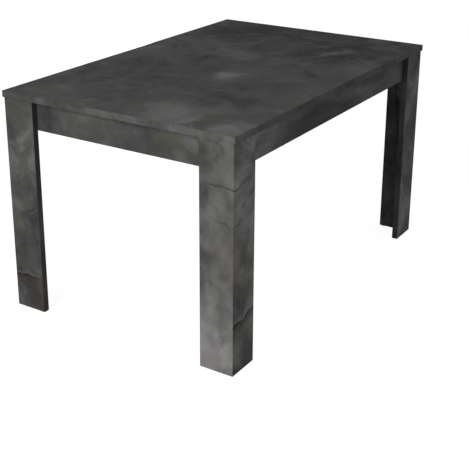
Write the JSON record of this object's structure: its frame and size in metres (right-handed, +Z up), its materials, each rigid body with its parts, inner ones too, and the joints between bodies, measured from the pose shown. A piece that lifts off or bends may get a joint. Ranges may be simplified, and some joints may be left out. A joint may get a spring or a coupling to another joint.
{
  "type": "extendable dining table",
  "caption": "Rectangular dining table on L-shaped panel legs, with one end that slides out on ball bearing slides and a loose leaf stored under the top.",
  "frame": {"origin": "centre of the closed table's footprint, on the floor", "axes": "+X along the table towards the end that slides out, +Y across it towards the rear long side, +Z up"},
  "size_m": [1.37, 0.9, 0.78],
  "materials": {
    "slate_top_board": "melamine faced board, mottled dark slate print, matt",
    "slate_leg_end_board": "melamine faced board, mottled dark slate print, matt",
    "slate_leg_side_board": "melamine faced board, mottled dark slate print, matt",
    "slate_end_apron": "melamine faced board, mottled dark slate print, matt",
    "slate_long_apron": "melamine faced board, mottled dark slate print, matt",
    "slate_edge_band": "edge banding in the same print",
    "pine_rail": "planed pine, bare",
    "beech_dowel": "fluted beech",
    "nylon_glide": "moulded nylon",
    "black_nylon": "moulded nylon",
    "brass_insert": "turned",
    "slide_cage_steel": "pressed steel cage with bright balls",
    "galvanised_slide": "roll formed, bright zinc",
    "zinc_cam": "die cast zinc",
    "zinc_plated_steel": "bright zinc plated"
  },
  "bodies": {
    "table_frame": {"top_panel": "slate_top_board", "top_edge_band": "slate_edge_band", "fixed_front_leg_end_board": "slate_leg_end_board", "fixed_front_leg_side_board": "slate_leg_side_board", "fixed_rear_leg_end_board": "slate_leg_end_board", "fixed_rear_leg_side_board": "slate_leg_side_board", "fixed_leg_edge_bands": "slate_edge_band", "fixed_leg_dowels": "beech_dowel", "fixed_leg_glides": "nylon_glide", "fixed_leg_inserts": "brass_insert", "fixed_leg_bolts": "zinc_plated_steel", "fixed_end_apron": "slate_end_apron", "front_apron": "slate_long_apron", "rear_apron": "slate_long_apron", "fixed_end_apron_edge_band": "slate_edge_band", "long_apron_edge_bands": "slate_edge_band", "cross_rail": "pine_rail", "frame_angles": "zinc_plated_steel", "frame_screws": "zinc_plated_steel", "top_cams": "zinc_cam", "top_cam_bolts": "zinc_plated_steel", "leaf_ledges": "zinc_plated_steel", "leaf_ledge_screws": "zinc_plated_steel", "leaf_pin_sockets": "black_nylon", "slide_outer_members": "galvanised_slide", "slide_outer_screws": "zinc_plated_steel", "lock_pivot_screws": "zinc_plated_steel"},
    "end_frame": {"sliding_front_leg_end_board": "slate_leg_end_board", "sliding_front_leg_side_board": "slate_leg_side_board", "sliding_rear_leg_end_board": "slate_leg_end_board", "sliding_rear_leg_side_board": "slate_leg_side_board", "sliding_leg_edge_bands": "slate_edge_band", "sliding_leg_dowels": "beech_dowel", "sliding_leg_glides": "nylon_glide", "sliding_leg_inserts": "brass_insert", "sliding_leg_bolts": "zinc_plated_steel", "sliding_end_apron": "slate_end_apron", "sliding_apron_edge_band": "slate_edge_band", "front_runner": "pine_rail", "rear_runner": "pine_rail", "runner_bolts": "zinc_plated_steel", "runner_barrel_nuts": "zinc_plated_steel", "runner_tie": "pine_rail", "runner_tie_screws": "zinc_plated_steel", "slide_inner_members": "galvanised_slide", "slide_inner_screws": "zinc_plated_steel", "lock_strikes": "zinc_plated_steel", "lock_strike_screws": "zinc_plated_steel"},
    "front_slide_middle": {"front_slide_middle_member": "galvanised_slide"},
    "rear_slide_middle": {"rear_slide_middle_member": "galvanised_slide"},
    "front_outer_balls": {"front_outer_ball_cage": "slide_cage_steel"},
    "rear_outer_balls": {"rear_outer_ball_cage": "slide_cage_steel"},
    "front_inner_balls": {"front_inner_ball_cage": "slide_cage_steel"},
    "rear_inner_balls": {"rear_inner_ball_cage": "slide_cage_steel"},
    "leaf": {"leaf_panel": "slate_top_board", "leaf_edge_band": "slate_edge_band", "leaf_pins": "black_nylon"},
    "front_lock": {"front_lock_hook": "zinc_plated_steel"},
    "rear_lock": {"rear_lock_hook": "zinc_plated_steel"}
  },
  "joints": [
    {"name": "end_frame_slide", "type": "slide", "parent": "table_frame", "child": "end_frame", "axis": [1, 0, 0], "range_m": [0, 0.48]},
    {"name": "front_slide_middle_run", "type": "slide", "parent": "table_frame", "child": "front_slide_middle", "axis": [1, 0, 0], "range_m": [0, 0.24]},
    {"name": "rear_slide_middle_run", "type": "slide", "parent": "table_frame", "child": "rear_slide_middle", "axis": [1, 0, 0], "range_m": [0, 0.24]},
    {"name": "front_outer_ball_run", "type": "slide", "parent": "table_frame", "child": "front_outer_balls", "axis": [1, 0, 0], "range_m": [0, 0.12]},
    {"name": "rear_outer_ball_run", "type": "slide", "parent": "table_frame", "child": "rear_outer_balls", "axis": [1, 0, 0], "range_m": [0, 0.12]},
    {"name": "front_inner_ball_run", "type": "slide", "parent": "table_frame", "child": "front_inner_balls", "axis": [1, 0, 0], "range_m": [0, 0.36]},
    {"name": "rear_inner_ball_run", "type": "slide", "parent": "table_frame", "child": "rear_inner_balls", "axis": [1, 0, 0], "range_m": [0, 0.36]},
    {"name": "leaf_store_slide", "type": "slide", "parent": "table_frame", "child": "leaf", "axis": [1, 0, 0], "range_m": [0, 0.36]},
    {"name": "front_lock_turn", "type": "hinge", "parent": "table_frame", "child": "front_lock", "pos_m": [0.609, -0.15, 0.6619], "axis": [0, 0, 1], "range_deg": [0, 90]},
    {"name": "rear_lock_turn", "type": "hinge", "parent": "table_frame", "child": "rear_lock", "pos_m": [0.609, 0.15, 0.6619], "axis": [0, 0, 1], "range_deg": [0, 90]}
  ],
  "couplings": [
    {"joint": "front_slide_middle_run", "follows": "end_frame_slide", "ratio": 0.5},
    {"joint": "rear_slide_middle_run", "follows": "end_frame_slide", "ratio": 0.5},
    {"joint": "front_outer_ball_run", "follows": "end_frame_slide", "ratio": 0.25},
    {"joint": "rear_outer_ball_run", "follows": "end_frame_slide", "ratio": 0.25},
    {"joint": "front_inner_ball_run", "follows": "end_frame_slide", "ratio": 0.75},
    {"joint": "rear_inner_ball_run", "follows": "end_frame_slide", "ratio": 0.75}
  ]
}
